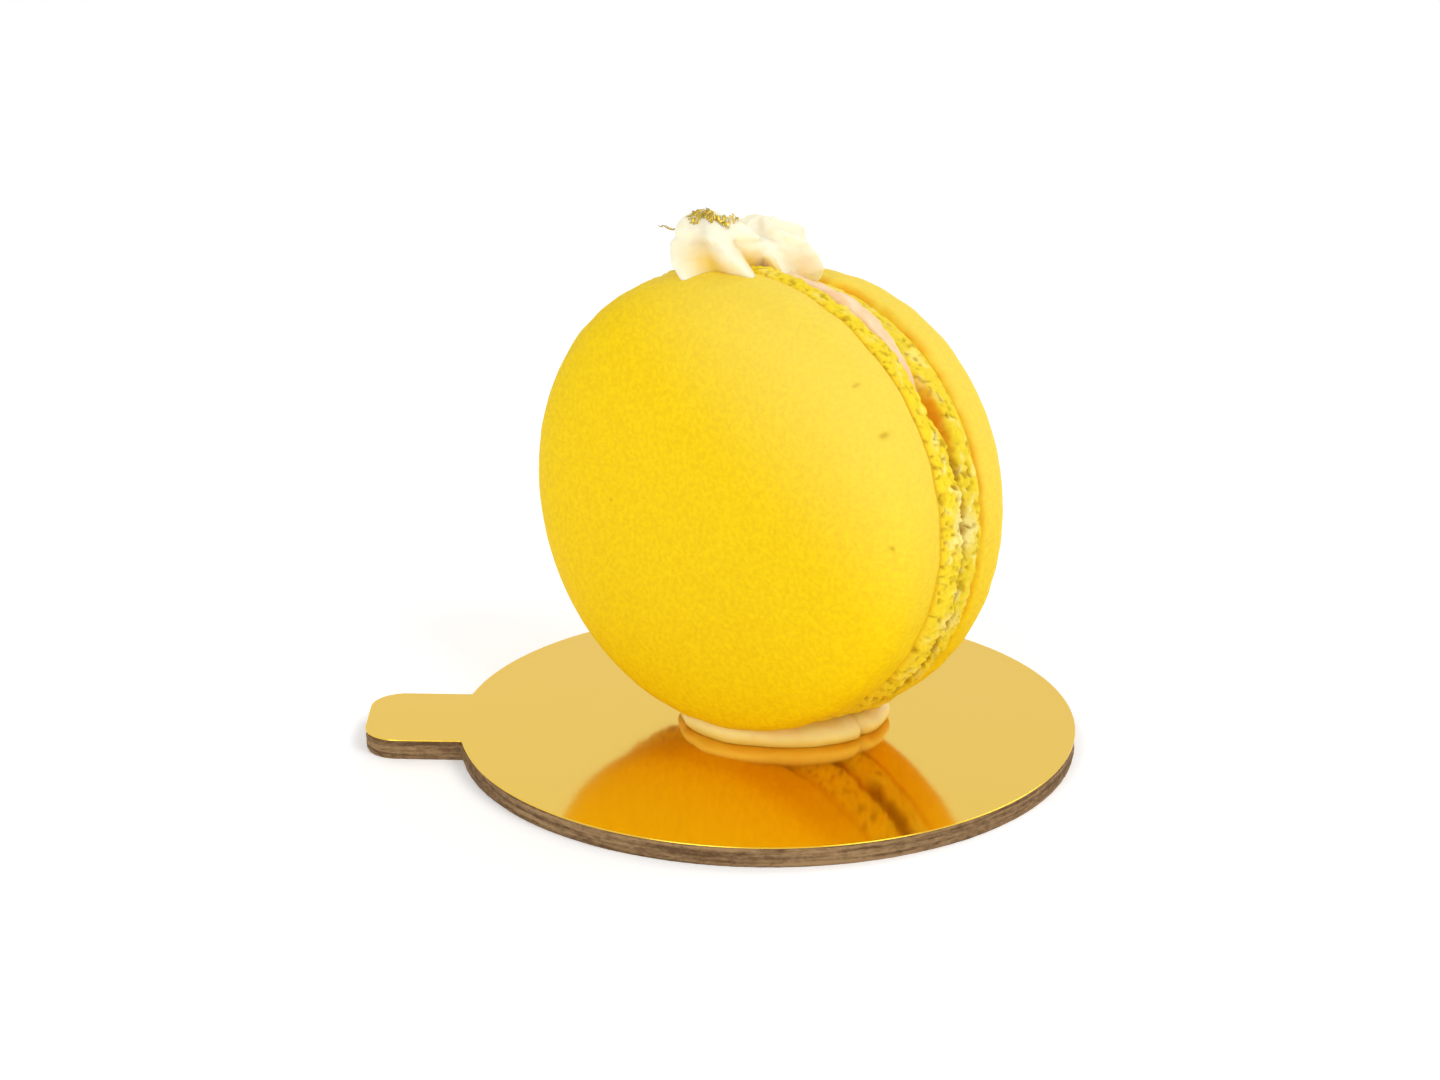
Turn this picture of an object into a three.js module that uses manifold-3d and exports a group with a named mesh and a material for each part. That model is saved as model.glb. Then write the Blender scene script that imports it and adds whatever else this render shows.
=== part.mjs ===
// A French macaron that stands on its rim on a round gold card with a tab, held by a dab of cream,
// with two piped cream stars and crumpled gold leaf on top.
// Millimetres, +Z up. The origin is the centre of the card's disc on its underside, and the tab points along -X.
import * as THREE from "three";
import { mergeVertices } from "three/addons/utils/BufferGeometryUtils.js";
import Module from "manifold-3d";

const wasm = await Module();
wasm.setup();

// Card
const CARD_RADIUS = 35;
const CARD_THICKNESS = 2.4;
const TAB_REACH = 45.6; // from the disc's centre to the end of the tab
const TAB_WIDTH = 14;
const TAB_CORNER = 4;
const CARD_ARC_STEPS = 40;

// Macaron: both shells are round about its axis, which lies almost level. A shell's heights are counted from
// its inner face: up its ruffled foot to the crease, then to the widest place of the dome, and to its top.
// The foot is a slight wedge, so its height varies by wedge for each millimetre up the macaron.
// spread is how far the foot stands out past the dome's widest place.
const FRONT_SHELL = { radius: 26.35, crease: 3.7, rim: 4.7, dome: 7.9, wedge: 0.06, spread: 0.3, seed: 0 };
const BACK_SHELL = { radius: 25.2, crease: 4.4, rim: 5.3, dome: 7.7, wedge: -0.075, spread: 0.1, seed: 2 };
const FOOT_BULGE = 0.5; // how much further the feet stand out on the right side
const FOOT_BULGE_ANGLE = THREE.MathUtils.degToRad(-15);
const CREASE_DEPTH = 0.024; // groove between foot and dome, as a share of the radius
const DOME_POWER = 4; // 2 is an ellipse, and more is a flatter top with a rounder shoulder
const CROWN = 0.1; // the share of the dome's height that is a gentle swell over the whole top
const RUFFLE_DEPTH = 0.38;
const SHELL_STEPS = 112;
const DOME_RINGS = 7;
const DOME_SPACING = 1.6; // more than 1 puts more rings on the shoulder than on the flat top

const MACARON_CENTRE = new THREE.Vector3(0, 2, 29.9);
const FACE_TURN = THREE.MathUtils.degToRad(34.6); // the front face looks along -Y, turned this far towards -X
const LEAN = THREE.MathUtils.degToRad(3.3); // the top leans back
const FRONT_GAP = 0.5; // from the macaron's middle plane to the front shell's inner face
const BACK_GAP = 1.3;
const BACK_TILT = THREE.MathUtils.degToRad(3.2); // the back shell's top leans away from the front one
const BACK_SWING = THREE.MathUtils.degToRad(1);
const BACK_SHIFT = 0.3;
const BACK_DROP = 1.2;

// Cream
const FILLING_RADIUS = 24.6;
const FILLING_SWELL = 1.2; // how far it comes out further at the top
const HOLLOW_DEPTH = 2.2; // there is a hollow in its edge on the right
const HOLLOW_ANGLE = THREE.MathUtils.degToRad(24);
const HOLLOW_WIDTH = THREE.MathUtils.degToRad(15);
const FILLING_STEPS = 64;
const CLEARANCE = 0.3;
const BASE_CENTRE = new THREE.Vector2(1.6, 1.8);
const BASE_RADII = new THREE.Vector2(12.2, 10);
const BASE_HEIGHT = 3.3;
const BASE_CREASE_ANGLE = THREE.MathUtils.degToRad(-37);
const BASE_STEPS = 56;
const STAR_STEPS = 40;
const STAR_RINGS = 10;
const STAR_SPACING = 0.8; // less than 1 puts more rings near the point
const STAR_ROOT = 22; // the stars start inside the shells and are cut to sit on them
const STAR_TUCK = 0.45; // how much narrower a star is at its root, as a share of its radius
const STAR_TUCK_TOP = 0.45; // the share of its height where a star reaches its full radius

// Each star: its middle across the face and towards the back, its top and its half widths. fullness squares its
// shoulders, groove is the grooves' depth as a share of the radius, start turns the lobes, and twist and nod
// are how far it turns and leans on the way up.
const FRONT_STAR = {
  middle: [-4.4, -4.6],
  top: 31.9,
  reach: [7.1, 5.2],
  fullness: 3,
  lobes: 4,
  groove: 0.4,
  start: -0.18,
  twist: 1.55,
  nod: -1.6,
};
const BACK_STAR = {
  middle: [-1.8, 2.3],
  top: 30.5,
  reach: [5.7, 5.2],
  fullness: 5.5,
  lobes: 5,
  groove: 0.28,
  start: -0.8,
  twist: 1,
  nod: -1.9,
};

// Gold leaf: where each crumpled flake is, its half sizes, and how it is turned.
const LEAF_FLAKES = [
  { at: [-6.8, -6.1, 31], half: [1.8, 0.5, 1.3], turn: [-0.9, 0, 0.2] },
  { at: [-4.3, -5.6, 31.6], half: [1.8, 0.5, 1.3], turn: [-0.8, 0.1, -0.2] },
  { at: [-2.7, -4.2, 31.9], half: [0.8, 0.4, 0.9], turn: [0.3, 0.5, 0.3] },
  { at: [-9, -5.9, 29.8], half: [2, 0.35, 0.5], turn: [-0.4, 0.12, 0] },
];

const CREAM_COLOUR = 0xf7e6b4;

function material(colour, roughness, metalness = 0) {
  return new THREE.MeshStandardMaterial({ color: colour, roughness, metalness });
}

// Moves each vertex of a geometry by a rule that changes the vector it is given.
function reshape(geometry, rule) {
  const position = geometry.getAttribute("position");
  const point = new THREE.Vector3();
  for (let i = 0; i < position.count; i++) {
    rule(point.fromBufferAttribute(position, i));
    position.setXYZ(i, point.x, point.y, point.z);
  }
  return geometry;
}

// A mesh's closed geometry as a solid, in the space that the matrix leads to.
function solidOf(mesh, matrix) {
  const closed = mesh.geometry.clone().applyMatrix4(matrix);
  closed.deleteAttribute("normal");
  closed.deleteAttribute("uv");
  const merged = mergeVertices(closed, 1e-3);
  return new wasm.Manifold(
    new wasm.Mesh({
      numProp: 3,
      vertProperties: new Float32Array(merged.getAttribute("position").array),
      triVerts: new Uint32Array(merged.index.array),
    }),
  );
}

function geometryOf(solid) {
  const { vertProperties, triVerts } = solid.getMesh();
  const geometry = new THREE.BufferGeometry();
  geometry.setAttribute("position", new THREE.BufferAttribute(vertProperties, 3));
  geometry.setIndex(new THREE.BufferAttribute(triVerts, 1));
  geometry.computeVertexNormals();
  return geometry;
}

function namedMesh(name, geometry, finish) {
  const mesh = new THREE.Mesh(geometry, finish);
  mesh.name = name;
  return mesh;
}

// The card is a disc with a straight tab whose far corners are round.
function cardGeometry() {
  const half = TAB_WIDTH / 2;
  const meet = Math.asin(half / CARD_RADIUS);
  const end = -TAB_REACH + TAB_CORNER;
  const outline = new THREE.Shape();
  outline.absarc(0, 0, CARD_RADIUS, Math.PI + meet, 3 * Math.PI - meet, false);
  outline.absarc(end, half - TAB_CORNER, TAB_CORNER, Math.PI / 2, Math.PI, false);
  outline.absarc(end, -half + TAB_CORNER, TAB_CORNER, Math.PI, 1.5 * Math.PI, false);
  outline.closePath();
  return new THREE.ExtrudeGeometry(outline, {
    depth: CARD_THICKNESS,
    bevelEnabled: false,
    curveSegments: CARD_ARC_STEPS,
  });
}

// How far the ruffles stand out at an angle round the shell and a height on its foot. Two sizes of bubble
// that shift from row to row keep the frill from repeating.
function ruffle(angle, height, seed) {
  const large = Math.sin(14 * angle + 1.1 * height + seed);
  const small = Math.sin(23 * angle - 1.7 * height + 2 * seed);
  const slow = Math.sin(5 * angle + 3 * seed);
  return RUFFLE_DEPTH * (0.45 * large + 0.4 * small + 0.15 * slow);
}

// The outline of a shell isn't a true circle.
function unevenness(angle, seed) {
  return 1 + 0.006 * Math.cos(2 * angle + seed) + 0.005 * Math.cos(3 * angle + 2 * seed);
}

// One shell about +Y, its inner face near height 0: a ruffled foot, a crease, a lip and a dome. grow makes it
// larger all round, to cut cream with. up is 1 where +Z is towards the macaron's top, and -1 where it's down.
function shellGeometry({ radius, crease, rim, dome, wedge, spread, seed }, up, grow = 0) {
  const full = radius + grow;
  const profile = [new THREE.Vector2(0, -grow), new THREE.Vector2(0.955 * full, -grow)];
  for (const [share, reach] of [
    [0.06, 0.985],
    [0.27, 1 + spread / radius],
    [0.5, 1 + spread / radius],
    [0.76, 1],
    [1, 1 - CREASE_DEPTH],
  ])
    profile.push(new THREE.Vector2(reach * full, share * crease));
  profile.push(new THREE.Vector2((1 - CREASE_DEPTH / 4) * full, THREE.MathUtils.lerp(crease, rim, 0.3)));
  for (let i = 0; i <= DOME_RINGS; i++) {
    const angle = (i / DOME_RINGS) ** DOME_SPACING * (Math.PI / 2);
    const out = Math.cos(angle) ** (2 / DOME_POWER);
    const rise = (1 - CROWN) * Math.sin(angle) ** (2 / DOME_POWER) + CROWN * (1 - out ** 2);
    profile.push(new THREE.Vector2(i < DOME_RINGS ? out * full : 0, rim + rise * (dome + grow)));
  }
  return reshape(new THREE.LatheGeometry(profile, SHELL_STEPS), (point) => {
    const angle = Math.atan2(up * point.z, point.x);
    const reach = Math.hypot(point.x, point.z);
    const onFoot = reach > 0.9 * full && point.y > -grow && point.y < 0.9 * crease;
    const bulge = FOOT_BULGE * Math.max(0, Math.cos(angle - FOOT_BULGE_ANGLE));
    const scale = unevenness(angle, seed) + (onFoot ? (ruffle(angle, point.y, seed) + bulge) / full : 0);
    point.x *= scale;
    point.z *= scale;
    point.y += wedge * up * point.z * Math.max(0, 1 - (Math.max(0, point.y) / rim) ** 2);
  });
}

function placeFront(mesh) {
  mesh.position.set(0, -FRONT_GAP, 0);
  mesh.rotation.set(Math.PI, 0, 0);
  mesh.updateMatrix();
  return mesh;
}

function placeBack(mesh) {
  mesh.position.set(BACK_SHIFT, BACK_GAP, -BACK_DROP);
  mesh.rotation.set(-BACK_TILT, 0, -BACK_SWING);
  mesh.updateMatrix();
  return mesh;
}

// How far along the macaron's axis the filling's two faces are, at a height above its centre.
function frontFace(height) {
  return -FRONT_GAP - FRONT_SHELL.wedge * height;
}

function backFace(across, height) {
  const slope = Math.tan(BACK_TILT) + BACK_SHELL.wedge;
  return BACK_GAP + slope * (height + BACK_DROP) - Math.tan(BACK_SWING) * (across - BACK_SHIFT);
}

// The filling fills the wedge between the two inner faces, less the clearance, and bulges at its edge.
function fillingGeometry(grow = 0) {
  const rim = FILLING_RADIUS + grow;
  const bulge = [
    [0, 0],
    [rim - 0.7, 0],
    [rim - 0.1, 0.2],
    [rim, 0.55],
    [rim - 0.3, 0.85],
    [rim - 0.9, 1],
    [0, 1],
  ];
  const profile = bulge.map(([out, share]) => new THREE.Vector2(out, share));
  return reshape(new THREE.LatheGeometry(profile, FILLING_STEPS), (point) => {
    const angle = Math.atan2(point.z, point.x);
    const wave = 0.3 * Math.sin(7 * angle + 1) + 0.2 * Math.sin(12 * angle);
    const hollow = HOLLOW_DEPTH * Math.exp(-(((angle - HOLLOW_ANGLE) / HOLLOW_WIDTH) ** 2));
    const swell = 1 + (FILLING_SWELL * Math.max(0, Math.sin(angle)) + wave - hollow) / FILLING_RADIUS;
    point.x *= swell;
    point.z *= swell;
    const front = frontFace(point.z) + CLEARANCE - grow;
    const back = backFace(point.x, point.z) - CLEARANCE + grow;
    point.y = THREE.MathUtils.lerp(front, back, point.y);
  });
}

// A star piped upwards, about +Y: lobes that twist as they rise to a point, which nods to one side.
function starGeometry({ top, reach, fullness, lobes, groove, start, twist, nod }) {
  const rise = top - STAR_ROOT;
  const profile = [new THREE.Vector2(0, 0)];
  for (let i = 0; i <= STAR_RINGS; i++) {
    const share = (i / STAR_RINGS) ** STAR_SPACING;
    const tuck = 1 - STAR_TUCK * Math.max(0, 1 - share / STAR_TUCK_TOP) ** 2;
    profile.push(new THREE.Vector2(i < STAR_RINGS ? tuck * Math.sqrt(1 - share ** fullness) : 0, share * rise));
  }
  return reshape(new THREE.LatheGeometry(profile, STAR_STEPS), (point) => {
    const share = point.y / rise;
    const angle = Math.atan2(point.z, point.x);
    const valley = 1 - Math.abs(Math.cos((lobes * angle) / 2));
    const out = Math.hypot(point.x, point.z) * (1 - groove * valley);
    const turned = angle + start + twist * share;
    point.set(reach[0] * out * Math.cos(turned) + nod * share ** 3, point.y, reach[1] * out * Math.sin(turned));
  });
}

// A crumpled flake of leaf: a ragged, crinkled pebble.
function flakeGeometry(half) {
  return reshape(new THREE.SphereGeometry(1, 12, 7), (point) => {
    const angle = Math.atan2(point.z, point.x);
    const ragged = 1 + 0.1 * Math.sin(3 * angle) + 0.1 * Math.sin(5 * angle + 1);
    const crinkle = 0.4 * Math.sin(4 * point.x + 3 * point.z);
    point.set(point.x * ragged * half[0], (point.y + crinkle) * half[1], point.z * ragged * half[2]);
  });
}

// Everything that cream keeps clear of, in the macaron's own frame.
function clearanceSolids() {
  const front = placeFront(new THREE.Mesh(shellGeometry(FRONT_SHELL, -1, CLEARANCE)));
  const back = placeBack(new THREE.Mesh(shellGeometry(BACK_SHELL, 1, CLEARANCE)));
  const filling = new THREE.Mesh(fillingGeometry(CLEARANCE));
  return [front, back, filling].map((mesh) => solidOf(mesh, mesh.matrix));
}

function rosetteGeometry() {
  const pieces = [FRONT_STAR, BACK_STAR].map((star) => {
    const mesh = new THREE.Mesh(starGeometry(star));
    mesh.rotation.x = Math.PI / 2;
    mesh.position.set(star.middle[0], star.middle[1], STAR_ROOT);
    mesh.updateMatrix();
    return solidOf(mesh, mesh.matrix);
  });
  for (const flake of LEAF_FLAKES) {
    const mesh = new THREE.Mesh(flakeGeometry(flake.half));
    mesh.rotation.set(...flake.turn);
    mesh.position.set(...flake.at);
    mesh.updateMatrix();
    pieces.push(solidOf(mesh, mesh.matrix));
  }
  const cream = pieces.reduce((joined, piece) => joined.add(piece));
  return geometryOf(largestPiece(clearanceSolids().reduce((left, cutter) => left.subtract(cutter), cream)));
}

function largestPiece(solid) {
  return solid.decompose().reduce((best, piece) => (piece.volume() > best.volume() ? piece : best));
}

// The dab under the macaron: a low oval with a soft edge and a crease where the piping ended, pressed to the
// shape of the shells.
function baseGeometry(macaronMatrix) {
  const profile = [
    [0, 0],
    [0.98, 0],
    [1, 0.15],
    [0.98, 0.45],
    [0.93, 0.75],
    [0.84, 0.93],
    [0.72, 1],
    [0, 1],
  ].map(([out, up]) => new THREE.Vector2(out, up * BASE_HEIGHT));
  const dab = reshape(new THREE.LatheGeometry(profile, BASE_STEPS), (point) => {
    const angle = Math.atan2(-point.z, point.x);
    const crease = 0.07 * Math.exp(-(((angle - BASE_CREASE_ANGLE) / 0.07) ** 2));
    const wave = 1 + 0.012 * Math.sin(5 * angle) - crease;
    point.x *= BASE_RADII.x * wave;
    point.z *= BASE_RADII.y * wave;
  });
  const mesh = new THREE.Mesh(dab);
  mesh.rotation.x = Math.PI / 2;
  mesh.position.set(BASE_CENTRE.x, BASE_CENTRE.y, CARD_THICKNESS);
  mesh.updateMatrix();
  const cutters = clearanceSolids().map((solid) => solid.transform(macaronMatrix.elements));
  return geometryOf(largestPiece(cutters.reduce((left, cutter) => left.subtract(cutter), solidOf(mesh, mesh.matrix))));
}

const macaron = new THREE.Group();
macaron.position.copy(MACARON_CENTRE);
macaron.rotation.set(-LEAN, 0, -FACE_TURN, "ZYX");
macaron.updateMatrix();

const shellFinish = material(0xf2cc0c, 0.85);
const creamFinish = material(CREAM_COLOUR, 0.5);
macaron.add(
  placeFront(namedMesh("shell_front", shellGeometry(FRONT_SHELL, -1), shellFinish)),
  placeBack(namedMesh("shell_back", shellGeometry(BACK_SHELL, 1), shellFinish)),
  namedMesh("filling", fillingGeometry(), material(0xf9dca0, 0.6)),
  namedMesh("cream_rosette", rosetteGeometry(), creamFinish),
);

const part = new THREE.Group();
part.add(
  namedMesh("card", cardGeometry(), material(0xe4c062, 0.15, 1)),
  namedMesh("cream_base", baseGeometry(macaron.matrix), creamFinish),
  macaron,
);

export default part;
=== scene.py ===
import math

import bmesh
import bpy
from bpy.props import FloatProperty, FloatVectorProperty, PointerProperty
from mathutils import Matrix, Vector, noise
from mathutils.bvhtree import BVHTree


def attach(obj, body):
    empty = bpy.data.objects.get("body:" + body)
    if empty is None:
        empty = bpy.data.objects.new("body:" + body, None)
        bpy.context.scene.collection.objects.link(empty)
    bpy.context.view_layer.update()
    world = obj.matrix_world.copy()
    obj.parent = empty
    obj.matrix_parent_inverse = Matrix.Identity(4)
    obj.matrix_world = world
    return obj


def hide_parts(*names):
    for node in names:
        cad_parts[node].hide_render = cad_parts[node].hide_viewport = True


bl_info = {
    "name": "French macaron on a gold card",
    "version": (1, 0, 0),
    "blender": (4, 5, 0),
    "location": "3D View > Sidebar > Macaron",
    "description": "Builds a macaron on a gold card, with piped cream and gold leaf",
    "category": "Add Mesh",
}

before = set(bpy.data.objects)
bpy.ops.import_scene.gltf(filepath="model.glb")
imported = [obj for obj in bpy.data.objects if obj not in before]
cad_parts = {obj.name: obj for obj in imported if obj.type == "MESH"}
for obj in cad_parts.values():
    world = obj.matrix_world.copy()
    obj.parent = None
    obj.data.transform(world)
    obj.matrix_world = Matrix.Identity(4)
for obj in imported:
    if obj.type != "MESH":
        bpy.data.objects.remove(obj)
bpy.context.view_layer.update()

MM = 0.001

# Card, in millimetres
CARD_RADIUS = 35
CARD_THICKNESS = 2.4
TAB_REACH = 45.6
TAB_WIDTH = 14
TAB_CORNER = 4
FOIL_THICKNESS = 0.12
EDGE_STEP = 0.4  # how far apart points are along the board's cut edge
EDGE_LAYERS = 14
FOIL_OVERHANG = 0.04  # how far the foil reaches past the board, which is cut a little rough
FOIL_ROUNDING = 0.09

# Macaron: the shells' sizes, with heights counted from a shell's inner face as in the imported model. The
# wedge is the slant of the inner face, the spread is how far the foot stands out past the dome, and the
# skirt is how far the foot's edge hangs over the filling
FRONT_SHELL = {
    "radius": 26.35,
    "crease": 3.7,
    "rim": 4.7,
    "dome": 7.9,
    "wedge": 0.06,
    "spread": 0.3,
    "skirt": 0.3,
    "crease_width": 0.3,
    "crease_shade": 0.25,
}
BACK_SHELL = {
    "radius": 25.2,
    "crease": 4.4,
    "rim": 5.3,
    "dome": 7.7,
    "wedge": -0.075,
    "spread": 0.1,
    "skirt": 0.5,
    "crease_width": 0.42,
    "crease_shade": 0.75,
}
FOOT_BULGE = 0.5
FOOT_BULGE_ANGLE = math.radians(-15)  # where the feet bulge and are torn most
SKIRT_ANGLE = math.radians(-8)  # where a foot's edge hangs furthest over the filling
SKIRT_WIDTH = math.radians(24)
PARTING_ANGLE = math.radians(33)  # where the feet draw back from each other and show their inside
PARTING_WIDTH = math.radians(8)
PARTING_HEIGHT = 0.4
PARTING_DEPTH = 1
# Patches of pale crumb on the feet: the angle of each and how wide it is
PALE_CRUMBS = ((math.radians(3.5), math.radians(4.5)), (math.radians(-21), math.radians(2)))
# Between these angles the feet almost meet, with a crack between them that is sunk and painted dark as shade
CRACK_ENDS = (math.radians(-60), math.radians(26))
CRACK_FADE = math.radians(6)
CRACK_DEPTH = 0.5
UNDERSIDE_ANGLE = math.radians(-75)  # round here the crumbs are less pale
CREASE_DEPTH = 0.024  # the depth of the crease over the foot, as a share of the radius
CREASE_CUT = 0.28  # how much deeper the crease is cut in the middle
INNER_FACE = 0.955  # the inner face's share of the radius
DOME_POWER = 4
CROWN = 0.1
FROTH_SEED = 5  # noise_vector gives other values in each run where no seed is set
SHELL_STEPS = 800
FOOT_RINGS = 30
LIP_RINGS = 6
DOME_RINGS = 24
CAP_REACH = 0.62  # inside this share of the radius the dome is a grid, not rings
# Specks on the front dome: across and up from its middle, and how wide they are
SPECKS = ((21.8, 12.9, 0.34), (18, 17.8, 0.2), (24.05, 0.9, 0.24), (-12.4, -1, 0.17))
MACARON_CENTRE = Vector((0, 2, 29.9))
FACE_TURN = math.radians(34.6)
LEAN = math.radians(3.3)
FRONT_GAP = 0.5
BACK_GAP = 1.3
BACK_TILT = math.radians(3.2)
BACK_SWING = math.radians(1)
BACK_SHIFT = 0.3
BACK_DROP = 1.2

# Filling and cream
FILLING_RADIUS = 24.8
FILLING_STEPS = 480
FILLING_RINGS = 16
FILLING_SWELL = 1.3
HOLLOW_DEPTH = 2.2
HOLLOW_ANGLE = math.radians(24)
HOLLOW_WIDTH = math.radians(15)
BASE_CENTRE = Vector((1.8, 1.8))
BASE_RADII = (12.5, 10)
BASE_HEIGHT = 3.3
BASE_STEPS = 300
BASE_RINGS = 24
BASE_CREASE = 0.07  # the depth of the fold in the dab, as a share of its radius, and its half width
BASE_CREASE_ANGLE = math.radians(-37)
STAR_ROOT = 22
STAR_TUCK = 0.45  # how much narrower a star is at its root
STAR_TUCK_TOP = 0.45  # the share of its height where a star reaches its full radius
STAR_START = 0.16  # the share of a star's height that is left off, sunk in the shells
FOLD_SHARE = 0.7  # how high on a star its last turn folds over the turn below
FOLD_WIDTH = 0.045
STAR_STEPS = 200
STAR_RINGS = 60
STARS_MEET = -1.5  # the stars meet here, across the macaron's thickness
# The stars, in the macaron's frame. Fullness is how square a star's side is, nod is how far its top leans,
# and on its top the valleys sink and swirl
FRONT_STAR = {
    "middle": (-4.4, -4.6),
    "top": 31.9,
    "reach": (7.1, 5.2),
    "fullness": 3,
    "lobes": 4,
    "groove": 0.46,
    "fold": 0.1,
    "start": -0.18,
    "twist": 1.55,
    "nod": -1.6,
    "sink": 0,
    "swirl": 0,
}
BACK_STAR = {
    "middle": (-1.8, 2.3),
    "top": 30.5,
    "reach": (5.7, 5.2),
    "fullness": 5.5,
    "lobes": 5,
    "groove": 0.33,
    "fold": 0.03,
    "start": -0.8,
    "twist": 1,
    "nod": -1.9,
    "sink": 1,
    "swirl": 1.1,
}
CREAM_VOXEL = 0.2
CREAM_STREAK = 1.07  # how much paler the cream is in streaks
CREAM_EASE = 0.3  # how much the fused cream is smoothed

# Camera, fitted to the photograph's outlines
CAMERA_PLACE = Vector((0.01653, -0.52291, 0.22064))
CAMERA_TURN = math.radians(2.4)
CAMERA_DOWN = math.radians(20.548)
CAMERA_LENS = 124.4

FLOOR_SIZE = 4  # half the floor's width, in metres


def linear(text):
    """An sRGB hex colour as linear red, green and blue."""
    parts = [int(text[i : i + 2], 16) / 255 for i in (1, 3, 5)]
    return [p / 12.92 if p <= 0.04045 else ((p + 0.055) / 1.055) ** 2.4 for p in parts]


def smooth_step(low, high, value):
    """Rises smoothly from 0 at low to 1 at high, or falls where low is the higher of the two."""
    share = min(1, max(0, (value - low) / (high - low)))
    return share * share * (3 - 2 * share)


def hump(value, middle, width):
    """A smooth hump: 1 where the value is at the middle, and almost 0 past two widths from it."""
    return math.exp(-(((value - middle) / width) ** 2))


class ShellSettings(bpy.types.PropertyGroup):
    crust: FloatVectorProperty(
        name="Crust", description="Colour of the smooth domes", subtype="COLOR", default=linear("#f8d406")
    )
    crust_dark: FloatVectorProperty(
        name="Crust grain", description="Colour of the grain", subtype="COLOR", default=linear("#efc602")
    )
    # Painted highlight: the paler skin painted on the shoulder that faces the light
    painted_highlight: FloatVectorProperty(
        name="Painted highlight", description="Colour of paler, dry skin", subtype="COLOR", default=linear("#f6de6a")
    )
    foot: FloatVectorProperty(
        name="Foot", description="Colour of the frilly feet", subtype="COLOR", default=linear("#f6d92c")
    )
    crumb: FloatVectorProperty(
        name="Crumb", description="Colour of pale crumbs", subtype="COLOR", default=linear("#fbea8a")
    )
    # Painted shade: the dark of the pits and of the crack between the feet; also the colour of the almond
    # specks
    pit: FloatVectorProperty(
        name="Pits", description="Colour deep in the pits", subtype="COLOR", default=linear("#b5860a")
    )
    # Painted shade: the orange of the shaded places between the feet and in the creases
    inside: FloatVectorProperty(
        name="Inside", description="Colour between the feet", subtype="COLOR", default=linear("#eda512")
    )
    grain: FloatProperty(
        name="Grain", description="Width of the domes' grain", unit="LENGTH", default=0.55 * MM
    )
    bubble: FloatProperty(
        name="Bubbles", description="Width of a bubble in the feet", unit="LENGTH", default=1.25 * MM
    )


class CreamSettings(bpy.types.PropertyGroup):
    cream: FloatVectorProperty(
        name="Cream", description="Colour of the piped cream", subtype="COLOR", default=linear("#fbefd4")
    )
    # Painted shade in the cream's valleys and where it touches the shells or the card
    valley_shade: FloatVectorProperty(
        name="Valley shade", description="Colour of its valleys", subtype="COLOR", default=linear("#eec41c")
    )
    dab: FloatVectorProperty(
        name="Dab", description="Colour of the dab", subtype="COLOR", default=linear("#ffe7a0")
    )
    filling: FloatVectorProperty(
        name="Filling", description="Colour of the filling", subtype="COLOR", default=linear("#f6cc9c")
    )
    filling_pale: FloatVectorProperty(
        name="Streaks", description="Colour of its streaks", subtype="COLOR", default=linear("#f8d8b0")
    )
    # Painted shade deep in the filling's hollow
    hollow: FloatVectorProperty(
        name="Hollow", description="Colour of its hollow", subtype="COLOR", default=linear("#e2a235")
    )


class CardSettings(bpy.types.PropertyGroup):
    foil: FloatVectorProperty(
        name="Foil", description="Colour of the gold foil", subtype="COLOR", default=linear("#f4ca48")
    )
    board: FloatVectorProperty(
        name="Board", description="Colour of the cut edge", subtype="COLOR", default=linear("#a0815b")
    )
    board_dark: FloatVectorProperty(
        name="Board fibres", description="Colour of dark fibres", subtype="COLOR", default=linear("#62482e")
    )


class LeafSettings(bpy.types.PropertyGroup):
    gold: FloatVectorProperty(
        name="Gold leaf", description="Colour of the gold leaf", subtype="COLOR", default=linear("#cdb04c")
    )
    thickness: FloatProperty(
        name="Thickness", description="Thickness of the leaf", unit="LENGTH", default=0.04 * MM
    )


class StudioSettings(bpy.types.PropertyGroup):
    surround: FloatProperty(name="Surround", description="Brightness of the room in front", default=0.42)
    backdrop: FloatProperty(name="Backdrop", description="Brightness of the lit wall behind", default=0.9)
    key: FloatProperty(name="Key light", description="Strength of the key light", unit="POWER", default=2.25)
    rim: FloatProperty(name="Rim light", description="Strength of the rim light", unit="POWER", default=1.2)
    fill: FloatProperty(name="Fill light", description="Strength of the fill", unit="POWER", default=2.7)
    glow: FloatProperty(name="Table glow", description="Brightness of the table lit from below", default=0.2)
    floor: FloatVectorProperty(
        name="Floor", description="Colour of the floor", subtype="COLOR", default=linear("#fbfbfb")
    )


def new_material(name):
    made = bpy.data.materials.new(name)
    made.use_nodes = True
    made.node_tree.nodes.clear()
    return made


def add_node(owner, kind, inputs, **settings):
    """Adds a shader node. inputs maps its sockets to values, or to the sockets that feed them."""
    tree = owner.node_tree
    made = tree.nodes.new("ShaderNode" + kind)
    for key, value in settings.items():
        setattr(made, key, value)
    for key, value in inputs.items():
        if isinstance(value, bpy.types.NodeSocket):
            tree.links.new(value, made.inputs[key])
        else:
            made.inputs[key].default_value = value
    return made


def opaque(colour):
    return (*colour, 1)


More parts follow.
